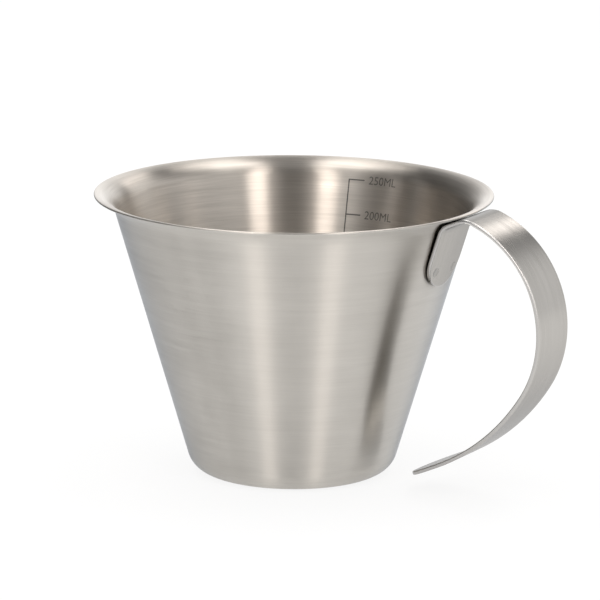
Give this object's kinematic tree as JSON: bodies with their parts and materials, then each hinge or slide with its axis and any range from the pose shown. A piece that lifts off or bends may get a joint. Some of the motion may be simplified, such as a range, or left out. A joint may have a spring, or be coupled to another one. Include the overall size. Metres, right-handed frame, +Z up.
{
  "type": "measuring jug",
  "caption": "Conical steel measuring cup with a flared lip, a scale marked inside and a bent strip handle with a free lower end.",
  "frame": {"origin": "middle of the flat base, on the surface that the cup stands on", "axes": "+Z up along the cup's axis, +X towards the handle, +Y to the left of the handle seen from outside it"},
  "size_m": [0.1227, 0.1, 0.071],
  "materials": {
    "cup_steel": "fine circular brush lines, satin",
    "handle_steel": "fine brush lines along the strip, satin",
    "weld_steel": "weld metal, hidden between strip and wall"
  },
  "bodies": {
    "root": {"cup_body": "cup_steel", "handle_strip": "handle_steel", "spot_welds": "weld_steel"}
  },
  "joints": []
}
